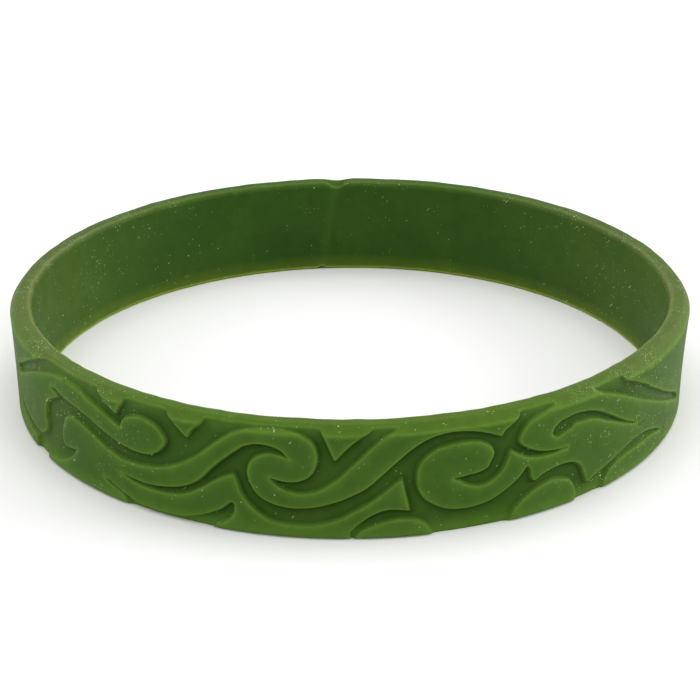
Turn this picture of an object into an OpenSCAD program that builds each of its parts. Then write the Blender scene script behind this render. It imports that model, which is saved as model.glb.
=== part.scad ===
// Moulded wristband: one closed hoop standing on its lower rim.
// The front half of the outer face carries a raised scroll relief with a
// sunken ground; the rear half and the whole inner wall are plain.
// Millimetres, +Z up, origin at the centre of the lower rim, front is -Y.

/* [Band] */
// outside diameter over the raised faces
outer_d = 70; // [64:1:78]
// thickness from the raised face to the inner wall
wall_t = 2.2; // [1.8:0.1:3]
// width of the band, rim to rim
band_w = 11; // [9:0.5:14]
// flat cut along the four rim edges
edge_cut = 0.25; // [0.1:0.05:0.35]

/* [Relief] */
// depth of the ground below the raised faces
relief_d = 0.5; // [0.3:0.05:0.7]
// straight pieces drawn between two rows of a table
steps = 2; // [1:1:3]

/* [Seam] */
// width of the small dent in the upper inner edge at the rear
dent_w = 2; // [1:0.25:3]
// depth of that dent, down from the rim
dent_d = 0.6; // [0.3:0.1:0.9]

/* [Hidden] */
outer_r = outer_d / 2;
inner_r = outer_r - wall_t;
ground_r = outer_r - relief_d;
ring_fn = 180;
root_d = 0.6;               // how far a raised form is rooted in the wall
dent_run = 0.8;             // how far the dent runs from the inner wall
past = 1;                   // how far a cutting shape runs past the wall
rear_turns = [135, 180, 225]; // corners of the plain rear's fan, in degrees

// The chart of the relief: the outer face unrolled, drawn for a band of
// radius 35 and width 11. s runs around the face from the front, + to the
// right; z is the height over the lower rim. Each raised form is a strip
// between two rails, one row for each section across it:
// [s_a, z_a, s_b, z_b]. Rails pass the rims where a form runs out over them.
chart_r = 35;
chart_w = 11;

blade_left = [
    [-46.6, 11.5, -46.6,  6.4],
    [-44.9, 11.5, -44.9,  6.4],
    [-43.6, 11.5, -43.6,  6.9],
    [-41.6, 11.5, -41.6,  7.8],
    [-39.0, 11.5, -39.1,  9.0],
    [-36.3, 11.5, -36.3, 10.2],
    [-33.6, 11.5, -33.6, 11.2]];

arm_left = [
    [-46.6,  6.9, -46.6,  4.4],
    [-44.9,  6.4, -45.0,  4.0],
    [-43.8,  5.9, -43.5,  4.0],
    [-41.1,  6.9, -41.0,  5.0],
    [-39.1,  7.8, -38.5,  6.3],
    [-36.8,  8.7, -36.0,  7.5],
    [-34.5,  9.4, -33.2,  8.4],
    [-32.2,  9.9, -31.9,  8.2],
    [-30.4, 10.0, -30.6,  8.0],
    [-28.8,  9.8, -29.2,  7.8],
    [-27.3,  9.3, -27.2,  7.4],
    [-25.9,  8.9, -25.7,  6.9],
    [-24.2,  8.3, -24.0,  6.4],
    [-22.9,  7.8, -22.5,  6.0],
    [-21.5,  7.4, -21.0,  5.9]];

ball = [
    [-23.0,  7.5, -22.8,  6.3],
    [-22.4,  8.6, -21.9,  5.9],
    [-21.5,  9.2, -20.8,  5.8],
    [-20.0,  9.4, -19.5,  5.9],
    [-18.6,  9.0, -18.5,  6.4],
    [-17.8,  8.3, -17.8,  7.1],
    [-17.5,  7.7, -17.5,  7.7]];

block_left = [
    [-46.6,  5.5, -46.6,  4.2],
    [-45.3,  5.4, -45.3,  3.9],
    [-43.5,  5.3, -43.5,  3.1],
    [-41.6,  5.6, -41.6,  2.6],
    [-39.8,  6.3, -39.8,  2.3],
    [-38.3,  7.0, -38.3,  2.2],
    [-37.1,  7.4, -37.1,  2.1]];

barb_left = [
    [-38.5,  7.1, -35.5,  8.0],
    [-38.5,  7.0, -33.9,  8.3],
    [-38.5,  6.8, -33.1,  8.1],
    [-38.5,  6.5, -32.3,  7.8],
    [-38.5,  6.2, -33.2,  7.3],
    [-38.5,  5.8, -34.3,  6.7],
    [-38.5,  5.2, -35.0,  5.9],
    [-38.5,  4.5, -35.3,  4.7],
    [-38.5,  3.8, -35.1,  3.5],
    [-38.5,  3.0, -35.9,  2.6],
    [-38.5,  2.5, -37.1,  2.1]];

lip_left = [
    [-47.0,  4.5, -47.0, -0.6],
    [-46.2,  3.9, -46.2, -0.6],
    [-45.4,  3.1, -45.4, -0.6],
    [-44.6,  2.6, -44.6, -0.6],
    [-43.0,  2.0, -43.0, -0.6],
    [-41.4,  1.6, -41.4, -0.6],
    [-39.8,  1.3, -39.8, -0.6],
    [-38.3,  1.2, -38.5, -0.6]];

wave_a = [
    [-31.9,  4.0, -31.9,  3.8],
    [-31.7,  4.7, -31.7,  3.3],
    [-31.4,  5.4, -31.3,  3.0],
    [-31.0,  6.0, -30.6,  3.0],
    [-30.4,  6.4, -29.8,  3.1],
    [-29.6,  6.6, -29.0,  3.4],
    [-28.6,  6.4, -28.2,  3.2],
    [-27.2,  6.0, -26.8,  2.8],
    [-25.4,  5.3, -24.8,  2.8],
    [-23.9,  4.8, -23.0,  3.0],
    [-22.2,  4.5, -21.5,  2.9],
    [-20.0,  4.6, -19.8,  2.8],
    [-18.3,  4.9, -18.0,  3.0],
    [-16.8,  5.4, -16.0,  3.5],
    [-15.2,  6.3, -14.2,  4.5],
    [-13.7,  7.4, -12.7,  6.1],
    [-12.2,  8.7, -11.3,  7.4],
    [-10.8,  9.7,  -9.8,  8.6]];

hook_a = [
    [-12.2,  8.5, -11.5,  7.7],
    [-10.8,  9.7,  -9.8,  8.6],
    [ -9.0, 10.3,  -8.6,  9.0],
    [ -7.4, 10.4,  -7.6,  9.0],
    [ -6.0, 10.4,  -6.7,  8.8],
    [ -4.5, 10.1,  -6.1,  8.5],
    [ -3.3,  9.4,  -5.8,  8.2],
    [ -2.9,  8.2,  -5.6,  8.0],
    [ -3.1,  7.0,  -5.5,  7.9],
    [ -3.6,  6.2,  -5.4,  7.8],
    [ -4.4,  5.7,  -5.4,  7.7],
    [ -5.6,  5.5,  -5.4,  7.6],
    [ -7.2,  5.8,  -5.4,  7.5],
    [ -7.6,  6.2,  -5.5,  7.4]];

hook_b = [
    [ -4.9,  7.4,  -6.4,  6.5],
    [ -5.4,  7.8,  -6.8,  6.2],
    [ -6.3,  8.1,  -7.1,  5.9],
    [ -7.3,  8.2,  -7.2,  5.7],
    [ -8.4,  7.8,  -7.1,  5.6],
    [ -9.1,  7.0,  -7.0,  5.5],
    [ -9.3,  6.0,  -6.8,  5.3],
    [ -9.0,  4.9,  -6.6,  5.1],
    [ -8.3,  3.9,  -6.3,  4.9],
    [ -7.0,  3.2,  -5.7,  4.6],
    [ -5.2,  2.9,  -4.6,  4.4],
    [ -3.2,  3.1,  -3.2,  4.6],
    [ -1.4,  3.6,  -2.2,  5.1]];

wave_b = [
    [ -3.2,  3.3,  -3.2,  4.4],
    [ -1.4,  3.6,  -2.2,  5.1],
    [  0.2,  4.3,  -1.1,  5.9],
    [  1.6,  5.1,   0.0,  7.0],
    [  3.0,  6.4,   1.0,  8.0],
    [  4.2,  7.5,   2.0,  9.0],
    [  5.5,  8.6,   3.0,  9.8],
    [  7.0,  9.5,   4.0, 10.3],
    [  8.6,  9.9,   5.0, 10.9],
    [ 10.5,  9.9,   7.0, 11.5],
    [ 12.4,  9.5,  10.0, 11.5],
    [ 14.1,  8.8,  13.0, 11.5]];

foot_left = [
    [-35.4,  0.5, -35.4, -0.6],
    [-33.8,  0.8, -33.8, -0.6],
    [-32.5,  1.0, -32.4, -0.6],
    [-31.2,  1.6, -31.0, -0.6],
    [-30.3,  2.2, -29.8, -0.6],
    [-29.6,  2.9, -28.4, -0.6],
    [-28.8,  3.5, -26.8, -0.6],
    [-26.7,  3.0, -25.4, -0.6],
    [-25.2,  1.8, -24.2, -0.6],
    [-23.8,  1.2, -23.3, -0.6],
    [-22.7,  0.8, -22.6, -0.6],
    [-22.3,  0.1, -22.3, -0.6]];

blade_c = [
    [-28.3,  3.4, -28.0,  2.0],
    [-25.8,  3.2, -25.3,  1.9],
    [-23.0,  3.0, -23.8,  1.4],
    [-21.5,  2.6, -22.3,  0.9],
    [-20.0,  2.4, -20.5,  0.5],
    [-18.0,  2.4, -18.0,  0.4],
    [-16.0,  2.7, -16.0,  0.5],
    [-14.3,  3.5, -14.2,  1.0],
    [-12.6,  4.7, -13.0,  1.5],
    [-11.6,  5.3, -12.0,  2.0],
    [-10.7,  5.7, -11.1,  2.8]];

blade_d = [
    [-11.4,  5.2, -11.4,  2.9],
    [-10.7,  5.7, -10.8,  2.8],
    [-10.3,  4.9, -10.6,  2.5],
    [-10.0,  4.0, -10.7,  1.8],
    [ -9.3,  3.0, -11.2,  1.1],
    [ -8.3,  2.1, -12.2,  0.4],
    [ -7.0,  1.4, -12.8, -0.6],
    [ -5.0,  1.2,  -5.0, -0.6],
    [ -3.0,  1.3,  -2.5, -0.6],
    [ -1.0,  1.9,  -0.3, -0.6],
    [  0.4,  2.7,   0.0,  0.6],
    [  1.3,  3.2,   0.4,  1.1],
    [  2.2,  3.8,   1.1,  1.7],
    [  3.2,  4.6,   2.2,  2.4],
    [  4.0,  5.3,   3.6,  2.8],
    [  4.7,  5.8,   5.4,  2.6]];

leaf_e = [
    [  0.1, -0.6,   0.2, -0.7],
    [  0.5,  0.2,   1.0, -0.6],
    [  1.1,  0.8,   1.6, -0.6],
    [  2.0,  1.2,   2.4, -0.6],
    [  3.2,  1.6,   3.4, -0.6],
    [  4.6,  1.8,   4.6, -0.6],
    [  6.0,  1.6,   5.8, -0.6],
    [  6.8,  1.2,   6.6, -0.6],
    [  7.3,  0.5,   7.2, -0.6],
    [  7.7, -0.5,   7.6, -0.6]];

leaf_g = [
    [ 14.9, -0.5,  15.0, -0.6],
    [ 15.2,  0.2,  16.0, -0.6],
    [ 15.6,  1.0,  17.0, -0.6],
    [ 16.5,  1.8,  18.0, -0.6],
    [ 17.5,  2.4,  19.0, -0.6],
    [ 18.6,  2.8,  20.0, -0.6],
    [ 19.8,  3.0,  20.6, -0.6],
    [ 20.9,  2.8,  21.2, -0.6],
    [ 21.9,  2.4,  21.7, -0.6],
    [ 22.6,  1.5,  22.1, -0.6],
    [ 22.8,  0.7,  22.4, -0.6],
    [ 22.6, -0.2,  22.5, -0.6]];

leaf_i = [
    [ 26.6, -0.5,  26.8, -0.6],
    [ 26.7,  0.4,  28.0, -0.6],
    [ 27.0,  1.1,  29.0, -0.6],
    [ 27.7,  1.7,  30.0, -0.6],
    [ 28.8,  2.1,  31.0, -0.6],
    [ 30.3,  2.3,  32.0, -0.6],
    [ 32.2,  2.3,  33.2, -0.6],
    [ 34.2,  2.3,  34.8, -0.6],
    [ 35.8,  2.2,  36.0, -0.6],
    [ 37.0,  1.9,  37.5, -0.6],
    [ 38.2,  1.7,  39.0, -0.6],
    [ 41.0,  1.7,  41.0, -0.6]];

scroll_f = [
    [ 13.4,  7.3,  13.4,  7.1],
    [ 13.0,  8.0,  13.1,  6.5],
    [ 12.0,  8.6,  12.7,  5.9],
    [ 10.5,  8.8,  11.9,  5.6],
    [  9.0,  8.7,  11.0,  5.5],
    [  7.8,  8.4,  10.2,  5.4],
    [  6.8,  7.7,   9.8,  5.4],
    [  6.2,  6.8,   9.6,  5.4],
    [  6.1,  5.8,   9.5,  5.4],
    [  6.2,  4.8,   9.6,  5.3],
    [  6.8,  3.7,   9.7,  5.2],
    [  7.7,  3.0,  10.1,  5.0],
    [  9.0,  2.4,  10.5,  4.7],
    [ 10.5,  2.2,  11.1,  4.4],
    [ 12.0,  2.3,  12.0,  4.2],
    [ 13.5,  2.7,  13.0,  4.4],
    [ 15.0,  3.5,  13.9,  5.0],
    [ 16.0,  4.2,  14.5,  5.7],
    [ 16.9,  5.2,  15.1,  7.1]];

body_m = [
    [ 14.9,  6.8,  16.6,  4.9],
    [ 15.1,  7.1,  16.9,  5.2],
    [ 15.6,  6.8,  17.3,  4.7],
    [ 16.3,  6.4,  17.4,  4.0],
    [ 17.1,  6.0,  17.8,  3.5],
    [ 18.2,  5.8,  18.6,  3.9],
    [ 19.5,  5.7,  19.8,  4.2],
    [ 20.6,  5.8,  21.0,  4.3],
    [ 21.5,  6.0,  22.0,  4.2],
    [ 22.0,  7.9,  22.8,  3.9],
    [ 23.4,  8.0,  23.4,  3.3],
    [ 24.4,  7.9,  23.8,  2.5],
    [ 25.4,  7.6,  24.3,  1.5],
    [ 26.4,  7.1,  25.3,  1.8],
    [ 27.4,  6.7,  26.8,  2.2],
    [ 28.5,  6.2,  28.3,  2.6],
    [ 29.6,  5.7,  29.9,  3.0],
    [ 30.6,  5.3,  31.4,  3.3],
    [ 31.5,  5.0,  33.0,  3.3],
    [ 33.0,  4.6,  34.7,  3.0],
    [ 35.0,  4.2,  36.3,  2.5],
    [ 37.5,  3.8,  37.8,  1.8],
    [ 39.0,  3.5,  39.0,  1.2]];

eye_h = [
    [ 22.2,  6.6,  22.3,  7.9],
    [ 21.5,  6.0,  21.3,  7.6],
    [ 20.5,  6.0,  20.7,  7.4],
    [ 19.0,  6.2,  20.2,  7.3],
    [ 18.0,  6.5,  19.9,  7.4],
    [ 17.0,  7.0,  19.7,  7.6],
    [ 16.3,  7.5,  19.6,  7.8],
    [ 16.0,  8.0,  19.7,  8.0],
    [ 16.3,  8.8,  19.8,  8.3],
    [ 17.0,  9.5,  20.1,  8.5],
    [ 18.0,  9.9,  20.6,  8.8],
    [ 19.5, 10.3,  21.2,  8.9],
    [ 20.8, 10.9,  22.0,  9.0],
    [ 23.0, 11.5,  23.0,  9.0],
    [ 24.6, 10.7,  24.2,  8.8],
    [ 25.3, 10.3,  25.2,  8.5],
    [ 26.2,  9.9,  26.1,  8.1]];

arm_right = [
    [ 25.3, 10.0,  25.2,  8.8],
    [ 26.2,  9.9,  26.1,  8.1],
    [ 27.2,  9.5,  27.3,  7.4],
    [ 28.3,  9.1,  28.6,  6.6],
    [ 30.1,  8.3,  30.0,  5.8],
    [ 32.0,  7.4,  31.5,  5.1],
    [ 34.2,  6.4,  33.2,  4.0],
    [ 36.3,  5.5,  35.0,  3.4],
    [ 38.0,  4.8,  37.0,  2.9],
    [ 39.6,  4.1,  39.0,  2.3],
    [ 41.5,  3.4,  41.3,  1.5],
    [ 43.7,  2.5,  43.5,  0.8],
    [ 46.0,  2.0,  46.0,  0.0]];

blade_right = [
    [ 28.9, 11.5,  28.9, 11.1],
    [ 29.3, 11.5,  29.2, 10.5],
    [ 29.9, 11.5,  29.8, 10.0],
    [ 31.1, 11.5,  31.1,  9.5],
    [ 33.2, 11.5,  33.2,  8.5],
    [ 35.1, 11.5,  35.1,  7.4],
    [ 36.6, 11.5,  36.6,  6.6],
    [ 38.1, 11.5,  38.1,  5.8],
    [ 40.7, 11.5,  40.7,  4.6],
    [ 43.0, 11.5,  43.0,  3.6],
    [ 44.6, 11.5,  44.6,  2.6],
    [ 46.0, 11.5,  46.0,  0.8],
    [ 47.5, 11.5,  47.0, -0.6],
    [ 53.0, 11.5,  53.0, -0.6]];

foot_right = [
    [ 37.8,  2.9,  37.8, -0.6],
    [ 41.0,  2.4,  41.0, -0.6],
    [ 43.7,  2.0,  43.7, -0.6],
    [ 46.0,  2.0,  46.0, -0.6],
    [ 49.0,  2.0,  49.0, -0.6]];

thorn_1 = [
    [-26.0, 11.5, -22.1, 11.5],
    [-25.8, 10.7, -22.2, 10.9],
    [-25.1, 10.1, -22.5, 10.2],
    [-24.2,  9.5, -22.9,  9.7],
    [-23.3,  9.0, -23.2,  9.1]];

thorn_2 = [
    [-17.5, 11.5, -13.4, 11.5],
    [-17.2, 10.5, -13.6, 10.5],
    [-16.5,  9.8, -13.9, 10.1],
    [-15.8,  9.1, -14.7,  9.4],
    [-15.2,  8.6, -15.1,  8.7]];

thorn_3 = [
    [ -2.6, 11.5,   2.2, 11.5],
    [ -2.5, 10.6,   1.9, 10.6],
    [ -2.1,  9.7,   0.9,  9.9],
    [ -1.7,  8.7,  -0.2,  9.0],
    [ -1.3,  7.8,  -1.2,  7.9]];

thorn_4 = [
    [ 12.4, 11.5,  16.1, 11.5],
    [ 12.6, 10.4,  15.9, 10.4],
    [ 13.0,  9.9,  15.1,  9.7],
    [ 13.5,  9.4,  14.5,  9.3],
    [ 14.1,  8.8,  14.2,  8.9]];

FORMS = [
    blade_left, arm_left, ball, block_left, barb_left, lip_left,
    wave_a, hook_a, hook_b, wave_b, foot_left, blade_c, blade_d,
    leaf_e, leaf_g, leaf_i, scroll_f, body_m, eye_h, arm_right,
    blade_right, foot_right,
    thorn_1, thorn_2, thorn_3, thorn_4];

// The relief is laid on in narrow sectors, each flat form pushed out along
// the sector's own middle direction and trimmed to the round wall.
relief_end = 46.4;          // chart s at which the plain rear begins
sectors = 9;                // sectors that the relief is laid on in
function degrees_at(s) = s / chart_r * 180 / PI;
function sector_edge(k) = degrees_at((2 * k / sectors - 1) * relief_end);

// one point of a smooth curve through p1 and p2, t from 0 to 1
function between(p0, p1, p2, p3, t) =
    0.5 * (2 * p1 + (p2 - p0) * t
        + (2 * p0 - 5 * p1 + 4 * p2 - p3) * t * t
        + (3 * p1 - p0 - 3 * p2 + p3) * t * t * t);

// rail c (0 or 2 is its first column) of a form, smooth between rows a and b
function rail(form, c, a, b) =
    let (last = len(form) - 1,
         p = [for (row = form) [row[c], row[c + 1]]])
    concat(
        [for (i = [a : b - 1]) for (j = [0 : steps - 1])
            between(p[max(i - 1, 0)], p[i], p[i + 1],
                    p[min(i + 2, last)], j / steps)],
        [p[b]]);

function reversed(list) = [for (i = [len(list) - 1 : -1 : 0]) list[i]];

// rows of a form that reach the window from s0 to s1
function reached(form, s0, s1) =
    [for (i = [0 : len(form) - 1])
        if (max(form[i][0], form[i][2]) > s0
            && min(form[i][0], form[i][2]) < s1) i];

// chart point to the flat face of the sector whose middle is at mid degrees;
// points far outside the sector are held at the width of a quarter turn
function flat(p, mid) =
    let (turn = degrees_at(p[0]) - mid)
    [outer_r * sin(max(-90, min(90, turn))), p[1] * band_w / chart_w];

module form_face(form, mid) {
    s_mid = mid * PI / 180 * chart_r;
    reach = 1.1 * relief_end / sectors; // half a sector and a little more
    rows = reached(form, s_mid - reach, s_mid + reach);
    if (len(rows) > 0) {
        a = max(rows[0] - 1, 0);
        b = min(rows[len(rows) - 1] + 1, len(form) - 1);
        outline = concat(rail(form, 0, a, b), reversed(rail(form, 2, a, b)));
        polygon([for (p = outline) flat(p, mid)]);
    }
}

// the outer part of the wall, out to the raised faces
module raised_ring() {
    rotate_extrude($fn = ring_fn)
    polygon([
        [ground_r - root_d, 0], [outer_r - edge_cut, 0],
        [outer_r, edge_cut], [outer_r, band_w - edge_cut],
        [outer_r - edge_cut, band_w], [ground_r - root_d, band_w]]);
}

// the wall down to the ground of the relief
module ground_ring() {
    rotate_extrude($fn = ring_fn)
    polygon([
        [inner_r + edge_cut, 0], [ground_r - edge_cut, 0],
        [ground_r, edge_cut], [ground_r, band_w - edge_cut],
        [ground_r - edge_cut, band_w], [inner_r + edge_cut, band_w],
        [inner_r, band_w - edge_cut], [inner_r, edge_cut]]);
}

// point of the plan at an angle from the front, well outside the band
function far_point(deg) = outer_d * [sin(deg), -cos(deg)];

// upright block over a fan of such points, with its tip on the axis; two
// neighbours share the points between them, so their sides match exactly
module fan(angles) {
    linear_extrude(height = band_w)
    polygon(concat([[0, 0]], [for (deg = angles) far_point(deg)]));
}

module relief_sector(k) {
    first = sector_edge(k);
    next = sector_edge(k + 1);
    mid = (first + next) / 2;
    intersection() {
        raised_ring();
        fan([first, next]);
        rotate([0, 0, mid]) rotate([90, 0, 0])
        linear_extrude(height = outer_r + past)
        for (form = FORMS) form_face(form, mid);
    }
}

module plain_rear() {
    intersection() {
        raised_ring();
        fan(concat([sector_edge(sectors)], rear_turns, [sector_edge(0)]));
    }
}

module seam_dent() {
    translate([0, inner_r - past, band_w + dent_w / 2 - dent_d])
    rotate([-90, 0, 0])
    cylinder(r = dent_w / 2, h = past + dent_run, $fn = 48);
}

module band() {
    color([0.25, 0.42, 0.12])
    difference() {
        union() {
            ground_ring();
            plain_rear();
            for (k = [0 : sectors - 1]) relief_sector(k);
        }
        seam_dent();
    }
}

band();
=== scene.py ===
# %% [markdown]
# # A moulded wristband with a raised scroll relief
#
# The real object is one piece of soft green silicone rubber, cast in a
# mould: a round hoop 70 mm across and 11 mm wide. The front of its outer
# face carries flat raised scrolls, blades and thorns over a sunken ground.
# The rear and the inner wall are plain, with a small flaw where the rubber
# met itself in the mould.
#
# The lesson turns a flat drawing of the relief into one closed skin, and then
# gives the skin its rubber finish, the dust that clings to it, light and a camera.

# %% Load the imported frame
import math

import bpy
import numpy as np
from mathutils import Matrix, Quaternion, Vector


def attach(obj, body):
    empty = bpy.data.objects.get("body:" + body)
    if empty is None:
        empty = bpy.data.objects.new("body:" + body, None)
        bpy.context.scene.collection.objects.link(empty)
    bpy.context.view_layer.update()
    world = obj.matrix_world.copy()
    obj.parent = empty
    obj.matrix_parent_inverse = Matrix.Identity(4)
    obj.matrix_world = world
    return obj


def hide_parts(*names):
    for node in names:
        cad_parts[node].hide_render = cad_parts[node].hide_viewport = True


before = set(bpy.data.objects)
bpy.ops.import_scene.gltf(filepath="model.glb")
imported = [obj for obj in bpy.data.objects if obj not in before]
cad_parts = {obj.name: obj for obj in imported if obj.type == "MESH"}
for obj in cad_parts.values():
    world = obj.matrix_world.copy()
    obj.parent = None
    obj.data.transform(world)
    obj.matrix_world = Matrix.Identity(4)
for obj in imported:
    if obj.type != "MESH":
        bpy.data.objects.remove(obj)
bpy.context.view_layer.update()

print("nodes in the frame:", sorted(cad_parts))

# %% [markdown]
# ## Sizes that come from the frame
#
# The hoop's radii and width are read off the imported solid, so the skin can
# never drift from it. All lengths below are millimetres, and become metres
# only where they are handed to Blender.

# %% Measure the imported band
MM = 0.001                # one millimetre, in Blender's metres
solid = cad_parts["band"]
corners = np.empty(3 * len(solid.data.vertices), np.float32)
solid.data.vertices.foreach_get("co", corners)
corners = corners.reshape(-1, 3) / MM
from_axis = np.hypot(corners[:, 0], corners[:, 1])
outer_r = round(float(from_axis.max()), 2)
inner_r = round(float(from_axis.min()), 2)
band_w = round(float(corners[:, 2].max()), 2)
relief_d = 0.5            # depth of the sunken ground
print(f"outer radius {outer_r}, inner radius {inner_r}, width {band_w} mm")

# %% [markdown]
# ## The drawing of the relief
#
# The relief is easiest to draw flat. Unroll the outer face: s runs round it
# in millimetres from the front, positive to the right, and z is the height.
# Each raised form is a strip between two rails, like a ribbon whose edges are
# given point by point. A row of a table is one section across the strip:
# s and z on the first rail, then s and z on the second. Where a form runs out
# over a rim, its rail passes the rim by half a millimetre.
#
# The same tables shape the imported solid, apart from one point of the eye on
# the right. First the left end: a blade, an arm that ends in a ball, and a
# barbed block that points to the right, over a lip along the lower rim.

# %% Forms of the left end
forms = {}
forms["blade_left"] = [
    [-46.6, 11.5, -46.6,  6.4],
    [-44.9, 11.5, -44.9,  6.4],
    [-43.6, 11.5, -43.6,  6.9],
    [-41.6, 11.5, -41.6,  7.8],
    [-39.0, 11.5, -39.1,  9.0],
    [-36.3, 11.5, -36.3, 10.2],
    [-33.6, 11.5, -33.6, 11.2]]
forms["arm_left"] = [
    [-46.6,  6.9, -46.6,  4.4],
    [-44.9,  6.4, -45.0,  4.0],
    [-43.8,  5.9, -43.5,  4.0],
    [-41.1,  6.9, -41.0,  5.0],
    [-39.1,  7.8, -38.5,  6.3],
    [-36.8,  8.7, -36.0,  7.5],
    [-34.5,  9.4, -33.2,  8.4],
    [-32.2,  9.9, -31.9,  8.2],
    [-30.4, 10.0, -30.6,  8.0],
    [-28.8,  9.8, -29.2,  7.8],
    [-27.3,  9.3, -27.2,  7.4],
    [-25.9,  8.9, -25.7,  6.9],
    [-24.2,  8.3, -24.0,  6.4],
    [-22.9,  7.8, -22.5,  6.0],
    [-21.5,  7.4, -21.0,  5.9]]
forms["ball"] = [
    [-23.0,  7.5, -22.8,  6.3],
    [-22.4,  8.6, -21.9,  5.9],
    [-21.5,  9.2, -20.8,  5.8],
    [-20.0,  9.4, -19.5,  5.9],
    [-18.6,  9.0, -18.5,  6.4],
    [-17.8,  8.3, -17.8,  7.1],
    [-17.5,  7.7, -17.5,  7.7]]
forms["block_left"] = [
    [-46.6,  5.5, -46.6,  4.2],
    [-45.3,  5.4, -45.3,  3.9],
    [-43.5,  5.3, -43.5,  3.1],
    [-41.6,  5.6, -41.6,  2.6],
    [-39.8,  6.3, -39.8,  2.3],
    [-38.3,  7.0, -38.3,  2.2],
    [-37.1,  7.4, -37.1,  2.1]]
forms["barb_left"] = [
    [-38.5,  7.1, -35.5,  8.0],
    [-38.5,  7.0, -33.9,  8.3],
    [-38.5,  6.8, -33.1,  8.1],
    [-38.5,  6.5, -32.3,  7.8],
    [-38.5,  6.2, -33.2,  7.3],
    [-38.5,  5.8, -34.3,  6.7],
    [-38.5,  5.2, -35.0,  5.9],
    [-38.5,  4.5, -35.3,  4.7],
    [-38.5,  3.8, -35.1,  3.5],
    [-38.5,  3.0, -35.9,  2.6],
    [-38.5,  2.5, -37.1,  2.1]]
forms["lip_left"] = [
    [-47.0,  4.5, -47.0, -0.6],
    [-46.2,  3.9, -46.2, -0.6],
    [-45.4,  3.1, -45.4, -0.6],
    [-44.6,  2.6, -44.6, -0.6],
    [-43.0,  2.0, -43.0, -0.6],
    [-41.4,  1.6, -41.4, -0.6],
    [-39.8,  1.3, -39.8, -0.6],
    [-38.3,  1.2, -38.5, -0.6]]
print("left end:", sum(len(rows) for rows in forms.values()), "sections")

# %% [markdown]
# The long wave grows from the left and curls over in a hook. Inside the hook
# a second strip starts, turns round below it and climbs to the upper rim. A
# strip that turns this sharply is drawn as two tables whose ends overlap.

# %% The two waves and their hooks
forms["wave_a"] = [
    [-31.9,  4.0, -31.9,  3.8],
    [-31.7,  4.7, -31.7,  3.3],
    [-31.4,  5.4, -31.3,  3.0],
    [-31.0,  6.0, -30.6,  3.0],
    [-30.4,  6.4, -29.8,  3.1],
    [-29.6,  6.6, -29.0,  3.4],
    [-28.6,  6.4, -28.2,  3.2],
    [-27.2,  6.0, -26.8,  2.8],
    [-25.4,  5.3, -24.8,  2.8],
    [-23.9,  4.8, -23.0,  3.0],
    [-22.2,  4.5, -21.5,  2.9],
    [-20.0,  4.6, -19.8,  2.8],
    [-18.3,  4.9, -18.0,  3.0],
    [-16.8,  5.4, -16.0,  3.5],
    [-15.2,  6.3, -14.2,  4.5],
    [-13.7,  7.4, -12.7,  6.1],
    [-12.2,  8.7, -11.3,  7.4],
    [-10.8,  9.7,  -9.8,  8.6]]
forms["hook_a"] = [
    [-12.2,  8.5, -11.5,  7.7],
    [-10.8,  9.7,  -9.8,  8.6],
    [ -9.0, 10.3,  -8.6,  9.0],
    [ -7.4, 10.4,  -7.6,  9.0],
    [ -6.0, 10.4,  -6.7,  8.8],
    [ -4.5, 10.1,  -6.1,  8.5],
    [ -3.3,  9.4,  -5.8,  8.2],
    [ -2.9,  8.2,  -5.6,  8.0],
    [ -3.1,  7.0,  -5.5,  7.9],
    [ -3.6,  6.2,  -5.4,  7.8],
    [ -4.4,  5.7,  -5.4,  7.7],
    [ -5.6,  5.5,  -5.4,  7.6],
    [ -7.2,  5.8,  -5.4,  7.5],
    [ -7.6,  6.2,  -5.5,  7.4]]
forms["hook_b"] = [
    [ -4.9,  7.4,  -6.4,  6.5],
    [ -5.4,  7.8,  -6.8,  6.2],
    [ -6.3,  8.1,  -7.1,  5.9],
    [ -7.3,  8.2,  -7.2,  5.7],
    [ -8.4,  7.8,  -7.1,  5.6],
    [ -9.1,  7.0,  -7.0,  5.5],
    [ -9.3,  6.0,  -6.8,  5.3],
    [ -9.0,  4.9,  -6.6,  5.1],
    [ -8.3,  3.9,  -6.3,  4.9],
    [ -7.0,  3.2,  -5.7,  4.6],
    [ -5.2,  2.9,  -4.6,  4.4],
    [ -3.2,  3.1,  -3.2,  4.6],
    [ -1.4,  3.6,  -2.2,  5.1]]
forms["wave_b"] = [
    [ -3.2,  3.3,  -3.2,  4.4],
    [ -1.4,  3.6,  -2.2,  5.1],
    [  0.2,  4.3,  -1.1,  5.9],
    [  1.6,  5.1,   0.0,  7.0],
    [  3.0,  6.4,   1.0,  8.0],
    [  4.2,  7.5,   2.0,  9.0],
    [  5.5,  8.6,   3.0,  9.8],
    [  7.0,  9.5,   4.0, 10.3],
    [  8.6,  9.9,   5.0, 10.9],
    [ 10.5,  9.9,   7.0, 11.5],
    [ 12.4,  9.5,  10.0, 11.5],
    [ 14.1,  8.8,  13.0, 11.5]]
print("with the waves:", sum(len(rows) for rows in forms.values()), "sections")

# %% [markdown]
# Under the waves lie long blades that stand on the lower rim, and three
# leaves that the rim cuts through.

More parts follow.
